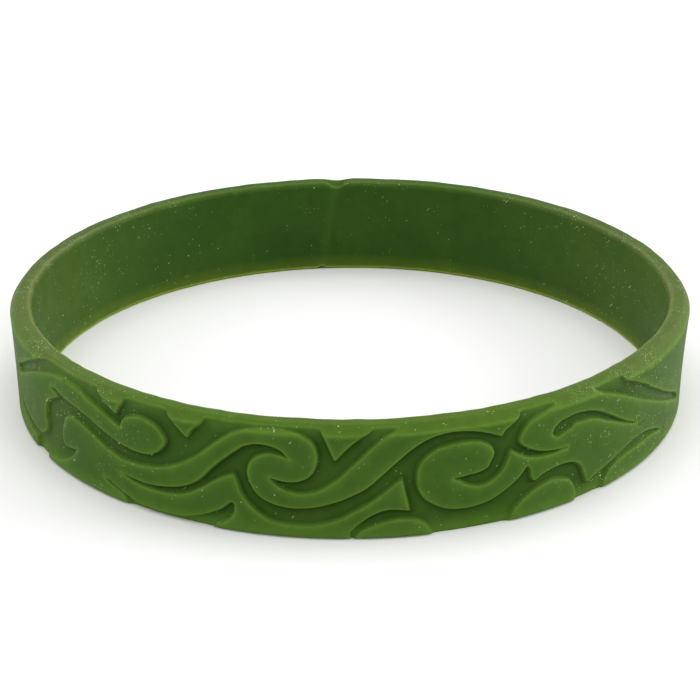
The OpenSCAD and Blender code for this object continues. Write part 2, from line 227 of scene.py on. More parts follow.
# %% Blades and leaves along the lower rim
forms["foot_left"] = [
    [-35.4,  0.5, -35.4, -0.6],
    [-33.8,  0.8, -33.8, -0.6],
    [-32.5,  1.0, -32.4, -0.6],
    [-31.2,  1.6, -31.0, -0.6],
    [-30.3,  2.2, -29.8, -0.6],
    [-29.6,  2.9, -28.4, -0.6],
    [-28.8,  3.5, -26.8, -0.6],
    [-26.7,  3.0, -25.4, -0.6],
    [-25.2,  1.8, -24.2, -0.6],
    [-23.8,  1.2, -23.3, -0.6],
    [-22.7,  0.8, -22.6, -0.6],
    [-22.3,  0.1, -22.3, -0.6]]
forms["blade_c"] = [
    [-28.3,  3.4, -28.0,  2.0],
    [-25.8,  3.2, -25.3,  1.9],
    [-23.0,  3.0, -23.8,  1.4],
    [-21.5,  2.6, -22.3,  0.9],
    [-20.0,  2.4, -20.5,  0.5],
    [-18.0,  2.4, -18.0,  0.4],
    [-16.0,  2.7, -16.0,  0.5],
    [-14.3,  3.5, -14.2,  1.0],
    [-12.6,  4.7, -13.0,  1.5],
    [-11.6,  5.3, -12.0,  2.0],
    [-10.7,  5.7, -11.1,  2.8]]
forms["blade_d"] = [
    [-11.4,  5.2, -11.4,  2.9],
    [-10.7,  5.7, -10.8,  2.8],
    [-10.3,  4.9, -10.6,  2.5],
    [-10.0,  4.0, -10.7,  1.8],
    [ -9.3,  3.0, -11.2,  1.1],
    [ -8.3,  2.1, -12.2,  0.4],
    [ -7.0,  1.4, -12.8, -0.6],
    [ -5.0,  1.2,  -5.0, -0.6],
    [ -3.0,  1.3,  -2.5, -0.6],
    [ -1.0,  1.9,  -0.3, -0.6],
    [  0.4,  2.7,   0.0,  0.6],
    [  1.3,  3.2,   0.4,  1.1],
    [  2.2,  3.8,   1.1,  1.7],
    [  3.2,  4.6,   2.2,  2.4],
    [  4.0,  5.3,   3.6,  2.8],
    [  4.7,  5.8,   5.4,  2.6]]
forms["leaf_e"] = [
    [  0.1, -0.6,   0.2, -0.7],
    [  0.5,  0.2,   1.0, -0.6],
    [  1.1,  0.8,   1.6, -0.6],
    [  2.0,  1.2,   2.4, -0.6],
    [  3.2,  1.6,   3.4, -0.6],
    [  4.6,  1.8,   4.6, -0.6],
    [  6.0,  1.6,   5.8, -0.6],
    [  6.8,  1.2,   6.6, -0.6],
    [  7.3,  0.5,   7.2, -0.6],
    [  7.7, -0.5,   7.6, -0.6]]
forms["leaf_g"] = [
    [ 14.9, -0.5,  15.0, -0.6],
    [ 15.2,  0.2,  16.0, -0.6],
    [ 15.6,  1.0,  17.0, -0.6],
    [ 16.5,  1.8,  18.0, -0.6],
    [ 17.5,  2.4,  19.0, -0.6],
    [ 18.6,  2.8,  20.0, -0.6],
    [ 19.8,  3.0,  20.6, -0.6],
    [ 20.9,  2.8,  21.2, -0.6],
    [ 21.9,  2.4,  21.7, -0.6],
    [ 22.6,  1.5,  22.1, -0.6],
    [ 22.8,  0.7,  22.4, -0.6],
    [ 22.6, -0.2,  22.5, -0.6]]
forms["leaf_i"] = [
    [ 26.6, -0.5,  26.8, -0.6],
    [ 26.7,  0.4,  28.0, -0.6],
    [ 27.0,  1.1,  29.0, -0.6],
    [ 27.7,  1.7,  30.0, -0.6],
    [ 28.8,  2.1,  31.0, -0.6],
    [ 30.3,  2.3,  32.0, -0.6],
    [ 32.2,  2.3,  33.2, -0.6],
    [ 34.2,  2.3,  34.8, -0.6],
    [ 35.8,  2.2,  36.0, -0.6],
    [ 37.0,  1.9,  37.5, -0.6],
    [ 38.2,  1.7,  39.0, -0.6],
    [ 41.0,  1.7,  41.0, -0.6]]
print("with the blades:", sum(len(rows) for rows in forms.values()), "sections")

# %% [markdown]
# On the right a round scroll rolls up, and a creature-like body with a curled
# head runs back into the plain rear.

# %% Forms of the right end
forms["scroll_f"] = [
    [ 13.4,  7.3,  13.4,  7.1],
    [ 13.0,  8.0,  13.1,  6.5],
    [ 12.0,  8.6,  12.7,  5.9],
    [ 10.5,  8.8,  11.9,  5.6],
    [  9.0,  8.7,  11.0,  5.5],
    [  7.8,  8.4,  10.2,  5.4],
    [  6.8,  7.7,   9.8,  5.4],
    [  6.2,  6.8,   9.6,  5.4],
    [  6.1,  5.8,   9.5,  5.4],
    [  6.2,  4.8,   9.6,  5.3],
    [  6.8,  3.7,   9.7,  5.2],
    [  7.7,  3.0,  10.1,  5.0],
    [  9.0,  2.4,  10.5,  4.7],
    [ 10.5,  2.2,  11.1,  4.4],
    [ 12.0,  2.3,  12.0,  4.2],
    [ 13.5,  2.7,  13.0,  4.4],
    [ 15.0,  3.5,  13.9,  5.0],
    [ 16.0,  4.2,  14.5,  5.7],
    [ 16.9,  5.2,  15.1,  7.1]]
forms["body_m"] = [
    [ 14.9,  6.8,  16.6,  4.9],
    [ 15.1,  7.1,  16.9,  5.2],
    [ 15.6,  6.8,  17.3,  4.7],
    [ 16.3,  6.4,  17.4,  4.0],
    [ 17.1,  6.0,  17.8,  3.5],
    [ 18.2,  5.8,  18.6,  3.9],
    [ 19.5,  5.7,  19.8,  4.2],
    [ 20.6,  5.8,  21.0,  4.3],
    [ 21.5,  6.0,  22.0,  4.2],
    [ 22.0,  7.9,  22.8,  3.9],
    [ 23.4,  8.0,  23.4,  3.3],
    [ 24.4,  7.9,  23.8,  2.5],
    [ 25.4,  7.6,  24.3,  1.5],
    [ 26.4,  7.1,  25.3,  1.8],
    [ 27.4,  6.7,  26.8,  2.2],
    [ 28.5,  6.2,  28.3,  2.6],
    [ 29.6,  5.7,  29.9,  3.0],
    [ 30.6,  5.3,  31.4,  3.3],
    [ 31.5,  5.0,  33.0,  3.3],
    [ 33.0,  4.6,  34.7,  3.0],
    [ 35.0,  4.2,  36.3,  2.5],
    [ 37.5,  3.8,  37.8,  1.8],
    [ 39.0,  3.5,  39.0,  1.2]]
forms["eye_h"] = [
    [ 22.2,  6.6,  22.7,  8.05],  # the solid has 22.3 and 7.9, which leaves a small notch
    [ 21.5,  6.0,  21.3,  7.6],
    [ 20.5,  6.0,  20.7,  7.4],
    [ 19.0,  6.2,  20.2,  7.3],
    [ 18.0,  6.5,  19.9,  7.4],
    [ 17.0,  7.0,  19.7,  7.6],
    [ 16.3,  7.5,  19.6,  7.8],
    [ 16.0,  8.0,  19.7,  8.0],
    [ 16.3,  8.8,  19.8,  8.3],
    [ 17.0,  9.5,  20.1,  8.5],
    [ 18.0,  9.9,  20.6,  8.8],
    [ 19.5, 10.3,  21.2,  8.9],
    [ 20.8, 10.9,  22.0,  9.0],
    [ 23.0, 11.5,  23.0,  9.0],
    [ 24.6, 10.7,  24.2,  8.8],
    [ 25.3, 10.3,  25.2,  8.5],
    [ 26.2,  9.9,  26.1,  8.1]]
forms["arm_right"] = [
    [ 25.3, 10.0,  25.2,  8.8],
    [ 26.2,  9.9,  26.1,  8.1],
    [ 27.2,  9.5,  27.3,  7.4],
    [ 28.3,  9.1,  28.6,  6.6],
    [ 30.1,  8.3,  30.0,  5.8],
    [ 32.0,  7.4,  31.5,  5.1],
    [ 34.2,  6.4,  33.2,  4.0],
    [ 36.3,  5.5,  35.0,  3.4],
    [ 38.0,  4.8,  37.0,  2.9],
    [ 39.6,  4.1,  39.0,  2.3],
    [ 41.5,  3.4,  41.3,  1.5],
    [ 43.7,  2.5,  43.5,  0.8],
    [ 46.0,  2.0,  46.0,  0.0]]
forms["blade_right"] = [
    [ 28.9, 11.5,  28.9, 11.1],
    [ 29.3, 11.5,  29.2, 10.5],
    [ 29.9, 11.5,  29.8, 10.0],
    [ 31.1, 11.5,  31.1,  9.5],
    [ 33.2, 11.5,  33.2,  8.5],
    [ 35.1, 11.5,  35.1,  7.4],
    [ 36.6, 11.5,  36.6,  6.6],
    [ 38.1, 11.5,  38.1,  5.8],
    [ 40.7, 11.5,  40.7,  4.6],
    [ 43.0, 11.5,  43.0,  3.6],
    [ 44.6, 11.5,  44.6,  2.6],
    [ 46.0, 11.5,  46.0,  0.8],
    [ 47.5, 11.5,  47.0, -0.6],
    [ 53.0, 11.5,  53.0, -0.6]]
forms["foot_right"] = [
    [ 37.8,  2.9,  37.8, -0.6],
    [ 41.0,  2.4,  41.0, -0.6],
    [ 43.7,  2.0,  43.7, -0.6],
    [ 46.0,  2.0,  46.0, -0.6],
    [ 49.0,  2.0,  49.0, -0.6]]
print("with the right end:", sum(len(rows) for rows in forms.values()), "sections")

# %% [markdown]
# Four thorns hang from the upper rim. Last come two plain plates that close
# the relief where the smooth rear begins.

# %% Thorns, and the ends of the relief
forms["thorn_1"] = [
    [-26.0, 11.5, -22.1, 11.5],
    [-25.8, 10.7, -22.2, 10.9],
    [-25.1, 10.1, -22.5, 10.2],
    [-24.2,  9.5, -22.9,  9.7],
    [-23.3,  9.0, -23.2,  9.1]]
forms["thorn_2"] = [
    [-17.5, 11.5, -13.4, 11.5],
    [-17.2, 10.5, -13.6, 10.5],
    [-16.5,  9.8, -13.9, 10.1],
    [-15.8,  9.1, -14.7,  9.4],
    [-15.2,  8.6, -15.1,  8.7]]
forms["thorn_3"] = [
    [ -2.6, 11.5,   2.2, 11.5],
    [ -2.5, 10.6,   1.9, 10.6],
    [ -2.1,  9.7,   0.9,  9.9],
    [ -1.7,  8.7,  -0.2,  9.0],
    [ -1.3,  7.8,  -1.2,  7.9]]
forms["thorn_4"] = [
    [ 12.4, 11.5,  16.1, 11.5],
    [ 12.6, 10.4,  15.9, 10.4],
    [ 13.0,  9.9,  15.1,  9.7],
    [ 13.5,  9.4,  14.5,  9.3],
    [ 14.1,  8.8,  14.2,  8.9]]
relief_end = 46.4         # s at which the plain rear begins
over_rim = 0.5            # how far a plate passes the rims
plate_run = 4.0           # length of a plate, which only has to close the relief
for side in (-1, 1):
    near, far = side * relief_end, side * (relief_end + plate_run)
    forms[f"plate_{side}"] = [
        [near, -over_rim, near, band_w + over_rim],
        [far, -over_rim, far, band_w + over_rim]]
print("whole drawing:", len(forms), "forms")

# %% [markdown]
# ## From tables to outlines
#
# A rail has only a point every millimetre or so. A Catmull-Rom curve goes
# through all of them and bends smoothly in between, which is how the mould's
# cutter would have run.

# %% Smooth the rails
PARTS = 12                # straight parts between two sections


def smooth_rail(points):
    """Catmull-Rom curve: between points p1 and p2 it is half of
    2 p1 + (p2 - p0) t + (2 p0 - 5 p1 + 4 p2 - p3) t^2
    + (3 p1 - p0 - 3 p2 + p3) t^3, with t from 0 to 1."""
    padded = np.vstack([points[:1], points, points[-1:]])[:, None]
    p0, p1, p2, p3 = padded[:-3], padded[1:-2], padded[2:-1], padded[3:]
    t = (np.arange(PARTS) / PARTS)[None, :, None]
    curve = 0.5 * (2 * p1 + (p2 - p0) * t
                   + (2 * p0 - 5 * p1 + 4 * p2 - p3) * t ** 2
                   + (3 * p1 - p0 - 3 * p2 + p3) * t ** 3)
    return np.vstack([curve.reshape(-1, 2), points[-1:]])


def outline_of(rows):
    """Down the first rail and back up the second."""
    rows = np.array(rows)
    return np.vstack([smooth_rail(rows[:, :2]), smooth_rail(rows[:, 2:])[::-1]])


outlines = [outline_of(rows) for rows in forms.values()]
print("points on all outlines:", sum(len(outline) for outline in outlines))

# %% [markdown]
# ## One border round all forms
#
# The forms overlap, as brush strokes do. What the mould shows is their
# union, so only the sides with rubber on one hand and ground on the other are
# kept. To test a side, two probes are set just off its middle. A point is
# inside an outline when the outline winds round it: sides that cross its level
# on the right count +1 going up and -1 going down, and the sum isn't zero.

# %% Find the border of the union
def winds_round(points, outline):
    """Winding number test of every point against one outline."""
    inside = np.zeros(len(points), bool)
    near = np.flatnonzero(np.all((points > outline.min(axis=0))
                                 & (points < outline.max(axis=0)), axis=1))
    s = points[near, 0][:, None]
    z = points[near, 1][:, None]
    s0, z0 = outline.T
    s1, z1 = np.roll(outline, -1, axis=0).T
    up = (z0 <= z) & (z1 > z)
    down = (z1 <= z) & (z0 > z)
    rise = np.where(z1 == z0, 1.0, z1 - z0)
    on_right = s0 + (z - z0) * (s1 - s0) / rise > s
    inside[near] = np.sum(up & on_right, axis=1) != np.sum(down & on_right, axis=1)
    return inside


def is_raised(points):
    """True where any form covers the point."""
    return np.any([winds_round(points, outline) for outline in outlines], axis=0)


PROBE = 0.015             # how far a probe stands off a side
TINY = 1e-9               # a length that counts as none
starts = np.vstack(outlines)
runs = np.vstack([np.roll(outline, -1, axis=0) for outline in outlines]) - starts
lengths = np.hypot(runs[:, 0], runs[:, 1])
real = lengths > TINY
starts, runs, lengths = starts[real], runs[real], lengths[real]
sideways = PROBE * np.stack([-runs[:, 1], runs[:, 0]], axis=1) / lengths[:, None]
middles = starts + runs / 2
on_border = is_raised(middles + sideways) != is_raised(middles - sideways)
starts, runs, lengths = starts[on_border], runs[on_border], lengths[on_border]
print("sides of the border:", len(starts), "total length", round(lengths.sum()), "mm")

# %% [markdown]
# ## The section of the band
#
# Cut the band across and walk round the cut: up the outer face, round the
# upper rim, down the inner wall and round the lower rim. Each row of the grid
# is one place on that walk. Its share says how much it follows the outer face
# (1) or the inner wall (0), its push is a move in or out that rounds the four
# edges, and its height is its z. Three edges are rounded. The outer edge above
# is a soft bevel: its section is a curve between a straight cut (power 2) and
# a circle (power 1), so it turns quickly at both ends. The wall has a row close
# to each of its ends, so that what the edges carry can't bleed down the wall.

# %% Rows of the grid
bevel_in = 0.75           # how far in the bevel of the outer edge above runs
bevel_down = 0.85         # and how far down
bevel_power = 1.8         # 2 is a straight cut, 1 a quarter of a circle
low_r = 0.45              # rounding of the outer edge below
lip_r = 0.45              # rounding of the inner edge above
hard_r = 0.22             # rounding of the inner edge below
face_rows, rim_rows, wall_rows = 19, 5, 8
close_row = 0.2           # distance of the wall's first and last row from its ends
across = np.linspace(0, 1, rim_rows)
wall_z = np.linspace(band_w - lip_r - close_row, hard_r + close_row, wall_rows)
wall_z = np.concatenate([[band_w - lip_r], wall_z, [hard_r]])


def rows_of(share, push, height):
    """Three columns of equal length: share, push, height."""
    return np.stack(np.broadcast_arrays(share, push, height), axis=1)


def corner(run_in, run_down, rows, power=1.0):
    """Push run_in (1 - cos^power a) and distance from the rim run_down
    (1 - sin^power a), for angles a that cut 90 degrees into equal parts."""
    angle = np.linspace(0, math.pi / 2, rows + 2)[1:-1]
    return run_in * (1 - np.cos(angle) ** power), run_down * (1 - np.sin(angle) ** power)


top_push, top_gap = corner(bevel_in, bevel_down, rows=6, power=bevel_power)
low_push, low_gap = corner(low_r, low_r, rows=3)
lip_push, lip_gap = corner(lip_r, lip_r, rows=4)
hard_push, hard_gap = corner(hard_r, hard_r, rows=3)
walk = np.vstack([
    rows_of(1.0, 0.0, np.linspace(low_r, band_w - bevel_down, face_rows)),
    rows_of(1.0, -top_push, band_w - top_gap),
    rows_of(1 - across, across * lip_r - (1 - across) * bevel_in, band_w),
    rows_of(0.0, lip_push[::-1], band_w - lip_gap[::-1]),
    rows_of(0.0, 0.0, wall_z),
    rows_of(0.0, hard_push, hard_gap),
    rows_of(across, (1 - across) * hard_r - across * low_r, 0.0),
    rows_of(1.0, -low_push[::-1], low_gap[::-1])])
print("rows round the section:", len(walk))

# %% [markdown]
# ## Columns round the hoop
#
# The relief gets a column every 0.6 mm, the plain rear one every millimetre,
# and the few millimetres round the seam five in a millimetre. The columns
# start at one end of the relief, run across the front and come back round the
# rear.

# %% Columns of the grid
round_trip = 2 * math.pi * outer_r
fine_end = relief_end + 0.8        # close columns run a little past the relief
seam_s = math.pi * outer_r + 2.4   # the seam stands a little left of the middle
seam_run = 4.0                     # the closest columns run so far to each side of it
stretches = [                      # from s, to s, number of columns
    (-fine_end, fine_end, 158),
    (fine_end, seam_s - seam_run, 60),
    (seam_s - seam_run, seam_s + seam_run, 40),
    (seam_s + seam_run, round_trip - fine_end, 60)]
columns_s = np.concatenate([np.linspace(start, stop, number, endpoint=False)
                            for start, stop, number in stretches])
print("columns round the hoop:", len(columns_s))

# %% [markdown]
# ## A lattice that can be cut finer
#
# Flat rubber needs few points, and the steep little walls of the relief need
# many. So each square of the grid may be cut in four, and this three times
# over. Points are named by whole numbers u (row) and v (column) on a lattice
# eight times as fine as the grid, so that neighbours of any size share their
# points exactly. Both directions close on themselves.

# %% Lattice
STEPS = 8                 # lattice steps in one square of the grid
rows_u = STEPS * len(walk)
columns_v = STEPS * len(columns_s)
SQUARE = np.array([[0, 0], [0, 1], [1, 1], [1, 0]])


def key_of(spots):
    """One whole number for each lattice point, the same after a full turn."""
    return spots[..., 0] % rows_u * columns_v + spots[..., 1] % columns_v


def quarters(squares, size):
    """The four smaller squares in each square."""
    return (squares[:, None] + size // 2 * SQUARE).reshape(-1, 2)


def place_of(keys):
    """s, share, push and height of lattice points: straight between the rows
    of the walk, and straight between the columns."""
    u, v = np.divmod(keys, columns_v)
    row, row_part = u // STEPS, (u % STEPS / STEPS)[:, None]
    next_row = (row + 1) % len(walk)
    share, push, height = (walk[row] * (1 - row_part) + walk[next_row] * row_part).T
    stops = np.append(columns_s, columns_s[0] + round_trip)
    s = np.interp(v / STEPS, np.arange(len(stops)), stops)
    return s, share, push, height


print("lattice:", rows_u, "by", columns_v)

# %% [markdown]
# ## Distance to the border
#
# Height follows from one number: how far a point is inside the border
# (positive) or out on the ground (negative). The nearest point on a straight
# side is found by projecting onto it and stopping at its ends. Comparing every
# point with every side would be wasteful, so the points are worked through in
# upright strips, each against the sides close to it.

# %% Signed distance
REACH = 1.2               # sides further away than this don't matter
FAR = 9.0                 # stands for a distance that wasn't measured
STRIPS = 110              # enough that each one needs little memory


def away_from_border(points):
    """Vector from the nearest point of the border to each point."""
    away = np.full(points.shape, FAR)
    s_low = np.minimum(starts[:, 0], starts[:, 0] + runs[:, 0])
    s_high = np.maximum(starts[:, 0], starts[:, 0] + runs[:, 0])
    order = np.argsort(points[:, 0])
    for strip in np.array_split(order, STRIPS):
        first, last = points[strip[0], 0], points[strip[-1], 0]
        near = np.flatnonzero((s_high > first - REACH) & (s_low < last + REACH))
        if len(near) == 0:
            continue
        offset = points[strip][:, None] - starts[near]
        along = np.sum(offset * runs[near], axis=2) / lengths[near] ** 2
        gap = offset - np.clip(along, 0, 1)[..., None] * runs[near]
        best = np.argmin(np.sum(gap ** 2, axis=2), axis=1)
        away[strip] = gap[np.arange(len(strip)), best]
    return away


def measured(s, z, share):
    """Signed distance of points, and the uphill direction in s and z. It is
    worked out on the outside of the relief only, and is FAR elsewhere."""
    distance = np.full(s.shape, FAR)
    uphill = np.zeros((len(s), 2))
    here = np.flatnonzero((np.abs(s) < fine_end) & (share == 1))
    points = np.stack([s[here], z[here]], axis=1)
    away = away_from_border(points)
    gap = np.hypot(away[:, 0], away[:, 1])
    sign = np.where(is_raised(points), 1.0, -1.0)
    distance[here] = sign * gap
    uphill[here] = away * (sign / np.maximum(gap, TINY))[:, None]
    return distance, uphill


print("border within reach:", REACH, "mm")

# %% [markdown]
# ## Cut the squares near the walls
#
# Each wall is bounded by two lines, the shoulder just inside the border and
# the foot on the ground. The nearer a square lies to them, the smaller it is
# cut, down to about 0.07 mm on the wall itself.

# %% Refine
SHOULDER, FOOT = 0.09, -0.20                # signed distances of the two lines
wall_middle = (SHOULDER + FOOT) / 2
NEAR_WALL = {8: 0.7, 4: 0.31, 2: 0.155}     # size: distance at which it is cut


def split_near_wall(squares, size):
    """Squares with a corner near the middle of a wall, and the others."""
    keys = key_of(squares[:, None] + size * SQUARE)
    some, where = np.unique(keys, return_inverse=True)
    s, share, push, height = place_of(some)
    gap = np.abs(measured(s, height, share)[0] - wall_middle)
    cut = gap[where.reshape(keys.shape)].min(axis=1) < NEAR_WALL[size]
    return squares[cut], squares[~cut]


u, v = np.meshgrid(np.arange(0, rows_u, STEPS), np.arange(0, columns_v, STEPS), indexing="ij")
to_cut = np.stack([u.ravel(), v.ravel()], axis=1)
squares = {}
for size in NEAR_WALL:
    cut, squares[size] = split_near_wall(to_cut, size)
    to_cut = quarters(cut, size)
squares[1] = to_cut
print("squares of each size:", {size: len(found) for size, found in squares.items()})

# %% [markdown]
# ## Points of the skin
#
# The corners of all squares are the points of the skin. Each gets its place
# on the drawing and on the section, and its distance to the border.

# %% Points
used = np.unique(np.concatenate([key_of(found[:, None] + size * SQUARE).ravel()
                                 for size, found in squares.items()]))
chart_s, share, push, height = place_of(used)
chart_z = height
distance, uphill = measured(chart_s, chart_z, share)
print("points:", len(used))

# %% [markdown]
# ## Pulling points onto the edges
#
# A regular lattice draws a slanting edge as a staircase. Points that lie
# within nearly half a step of the shoulder or foot line are moved onto it, so
# the edges come out crisp. On the rims a point may only slide round the hoop,
# or the rim would lose its shape, and so only a line that crosses the rim
# pulls there.

# %% Snap points to shoulder and foot
PULL = 0.48               # how near a line must be to pull, in lattice steps
step = (columns_s[1] - columns_s[0]) / STEPS
on_face = (share == 1) & (push == 0) & (height > low_r) & (height < band_w - bevel_down)
slope_s, slope_z = uphill.T
crosses = np.abs(slope_s) > 0.5
along_s = np.where(on_face, slope_s, 1 / np.where(crosses, slope_s, 1))
steeper = np.where(on_face, np.maximum(np.abs(slope_s), np.abs(slope_z)), np.abs(slope_s))
for line in (SHOULDER, FOOT):
    off = line - distance
    close = (np.abs(off) < PULL * step * steeper) & (on_face | crosses)
    chart_s = chart_s + np.where(close, off * along_s, 0)
    chart_z = chart_z + np.where(close & on_face, off * slope_z, 0)
    distance = np.where(close, line, distance)
    print("points moved to", line, ":", int(close.sum()))

# %% [markdown]
# ## Height over the ground
#
# From the foot to the shoulder the wall rises as t^2 (3 - 2 t), which rounds
# it at both ends. Rubber pulls back a little as it cures, so a raised face is
# faintly crowned: it falls over the last 0.8 mm towards its shoulder. The
# ground rises in a small fillet towards the foot.

# %% Depth below the full radius
crown_d = 0.11            # fall of a raised face towards its shoulder
crown_run = 0.8
fillet_d = 0.04           # rise of the ground towards a foot
fillet_run = 0.35


def grows(x, start, run):
    """0 up to start, 1 from start + run on, and straight in between."""
    return np.clip((x - start) / run, 0, 1)


def depth_at(distance):
    """Depth from the signed distance: the wall falls as 1 - t^2 (3 - 2 t), and
    crown and fillet are squares of what is left of their runs."""
    t = grows(distance, FOOT, SHOULDER - FOOT)
    wall = relief_d * (1 - t ** 2 * (3 - 2 * t))
    crown = crown_d * np.clip(1 - (distance - SHOULDER) / crown_run, 0, 1) ** 2
    fillet = fillet_d * np.clip(1 + (distance - FOOT) / fillet_run, 0, 1) ** 2
    return wall + crown * t - fillet * (1 - t)


depth = depth_at(distance)
print("depth from", round(float(depth.min()), 3), "to", round(float(depth.max()), 3), "mm")

# %% [markdown]
# ## The seam at the rear
#
# Where the rubber closed the ring it left its marks: the rim sags a little, a
# small dent bites into its inner edge, and a faint crease runs down the inner
# wall, leaning to the left, to a nick at the bottom. Each is a bell curve or
# an arch over the distance from the seam, and only as strong as the height
# and the side of the wall allow.

# %% Marks of the seam
def bump(x, width):
    """Bell curve of height 1: exp of minus (x / width) squared."""
    return np.exp(-(x / width) ** 2)


sag_d, sag_run = 0.24, 1.3         # depth of each mark, and how wide its curve is
dent_d, dent_half = 0.5, 1.05      # the dent has clear ends, so this is half its width
nick_d, nick_run = 0.3, 0.5
crease_d, crease_run = 0.03, 0.4
lean_per_mm = 2.0 / band_w         # it leans by 2 mm from rim to rim
upright_z = band_w - 4.5           # the height at which it passes seam_s
inward = 1 - share
from_seam = chart_s - (seam_s + lean_per_mm * (upright_z - height))
near_top = grows(height, band_w / 2, band_w / 2) ** 3
near_floor = (1 - grows(height, 0, band_w / 2)) ** 6
sag = sag_d * bump(from_seam, sag_run) * near_top
dent = dent_d * np.clip(1 - (from_seam / dent_half) ** 2, 0, 1) ** 0.7 * inward ** 2 * near_top ** 3
nick = nick_d * bump(from_seam, nick_run) * inward * near_floor
crease = crease_d * bump(from_seam, crease_run) * inward
print("deepest dent", round(float((sag + dent).max()), 2), "mm")

# %% [markdown]
# ## A hand-made unevenness
#
# No rubber ring is perfectly true. Slow waves round the hoop lift the upper
# rim and shift the inner wall by a few hundredths of a millimetre. Each wave
# makes a whole number of turns, so the ring closes without a step. At its two
# sides the upper rim also leans out a little, more on the right than on the
# left.

# %% Slow waves round the hoop
dice = np.random.default_rng(11)


def slow_wave(size, turns):
    """Sum of sines with whole numbers of turns and random phases."""
    phase = dice.uniform(0, 2 * math.pi, len(turns))
    angle = np.multiply.outer(turns, chart_s / outer_r) + phase[:, None]
    return size * np.sum(np.sin(angle), axis=0) / math.sqrt(len(turns))


wave_d = 0.03
lift = slow_wave(wave_d, np.array([7, 13, 19, 31, 47, 83])) * near_top
narrow = slow_wave(wave_d, np.array([5, 11, 23, 37, 61, 97])) * inward
side_s = 1.45 * outer_r   # about where the ring is widest, seen from the front
right_d, left_d = 0.5, 0.25        # how far the upper rim leans out there
flare_run = 13.0
flare = right_d * bump(chart_s - side_s, flare_run)
for left_s in (round_trip - side_s, -side_s):      # one place, counted either way round
    flare = flare + left_d * bump(chart_s - left_s, flare_run)
flare = flare * (height / band_w) ** 2
print("rim waves up to", round(float(np.abs(lift).max()), 3), "mm, flare",
      round(float(flare.max()), 2), "mm")

# %% [markdown]
# ## Rolling the drawing up
#
# Each point now has an angle, a radius and a height. The relief is cut straight
# in from the outside, so at the bevelled edge it only takes away rubber that
# lies further out than the cut: the radius is the smaller one of the plain
# section's and the cut's. A root in place of a plain minimum softens the
# corner between the two. The band in the picture is about a fiftieth wider
# than the drawing, so the heights are stretched a little, most at the rims.

# %% Roll up
def rolled(s, radius, z):
    """Chart to space: the angle is s over the outer radius, with the front
    at -Y and s growing towards +X."""
    angle = s / outer_r
    return np.stack([radius * np.sin(angle), -radius * np.cos(angle), z], axis=-1)


plain = share * outer_r + inward * (inner_r + narrow + crease) + push
cut = outer_r - depth
soft = 0.22 * depth / relief_d     # the deeper the cut, the softer its corner
radius = (plain + cut - np.hypot(plain - cut, soft)) / 2 + flare
fuller = 0.11                      # half of what the width gains
stretch = fuller * (1 + (2 * chart_z / band_w - 1) ** 3)
points = rolled(chart_s, radius, chart_z + stretch - sag - dent + nick + lift)
print("highest point", round(float(points[:, 2].max()), 3), "mm")

# %% [markdown]
# ## Faces of the skin
#
# Walk round each square and pick up every point that its smaller neighbours
# have put on its sides, so that no gap can open between sizes. A square with
# only its own four corners is cut along the diagonal whose ends differ less in
# depth, so that no wall gets a sawtooth.

# %% Faces
def ring_of(size):
    """Lattice points round a square: right, up, left and down."""
    k = np.arange(size)
    full = np.full(size, size)
    return np.stack([np.concatenate([0 * k, k, full, size - k]),
                     np.concatenate([k, full, size - k, 0 * k])], axis=1)


loops, counts, quads = [], [], []
for size, found in squares.items():
    keys = key_of(found[:, None] + ring_of(size))
    index = np.searchsorted(used, keys)
    present = used[np.minimum(index, len(used) - 1)] == keys
    number = present.sum(axis=1)
    quads.append(index[number == 4][present[number == 4]].reshape(-1, 4))
    loops.append(index[number > 4][present[number > 4]])
    counts.append(number[number > 4])
quads = np.concatenate(quads)
shown_depth = plain - radius
a, b, c, d = quads.T
cut_ac = np.abs(shown_depth[a] - shown_depth[c]) <= np.abs(shown_depth[b] - shown_depth[d])
first = np.where(cut_ac, np.stack([a, b, c]), np.stack([a, b, d]))
second = np.where(cut_ac, np.stack([a, c, d]), np.stack([b, c, d]))
triangles = np.concatenate([first.T, second.T])
loops = np.concatenate([triangles.ravel(), *loops])
counts = np.concatenate([np.full(len(triangles), 3), *counts])
print("faces:", len(counts), "which make", int((counts - 2).sum()), "triangles")

# %% [markdown]
# Blender stores a mesh as long lists: the points, the corners of all faces in
# one row, and where in that row each face starts. Filling whole lists with
# foreach_set is far quicker than adding points one by one.

# %% Make the mesh
def mesh_of(name, points, loops, counts):
    """A mesh object from points (in mm), the points that each face joins, one
    face after another, and the number of points of each face."""
    mesh = bpy.data.meshes.new(name)
    mesh.vertices.add(len(points))
    mesh.vertices.foreach_set("co", (points * MM).astype(np.float32).ravel())
    mesh.loops.add(len(loops))
    mesh.loops.foreach_set("vertex_index", loops.astype(np.int32))
    mesh.polygons.add(len(counts))
    mesh.polygons.foreach_set("loop_start", (np.cumsum(counts) - counts).astype(np.int32))
    mesh.update(calc_edges=True)
    mesh.validate()
    made = bpy.data.objects.new(name, mesh)
    bpy.context.scene.collection.objects.link(made)
    return made


skin = mesh_of("wristband", points, loops, counts)
skin.data.shade_smooth()
print("skin:", len(skin.data.vertices), "points")

# %% [markdown]
# A closed skin must face outwards. The sum of each triangle's corner product
# is six times the volume it encloses, and comes out positive only if it does.
# Every edge must also have exactly two faces.

# %% Check the skin
skin.data.calc_loop_triangles()
corner_index = np.empty(3 * len(skin.data.loop_triangles), np.int32)
skin.data.loop_triangles.foreach_get("vertices", corner_index)
p, q, r = points[corner_index.reshape(-1, 3)].transpose(1, 0, 2)
volume = np.sum(p * np.cross(q, r)) / 6
edges_wanted = len(loops) / 2
print("volume", round(float(volume), 1), "mm3; edges", len(skin.data.edges), "of", edges_wanted)

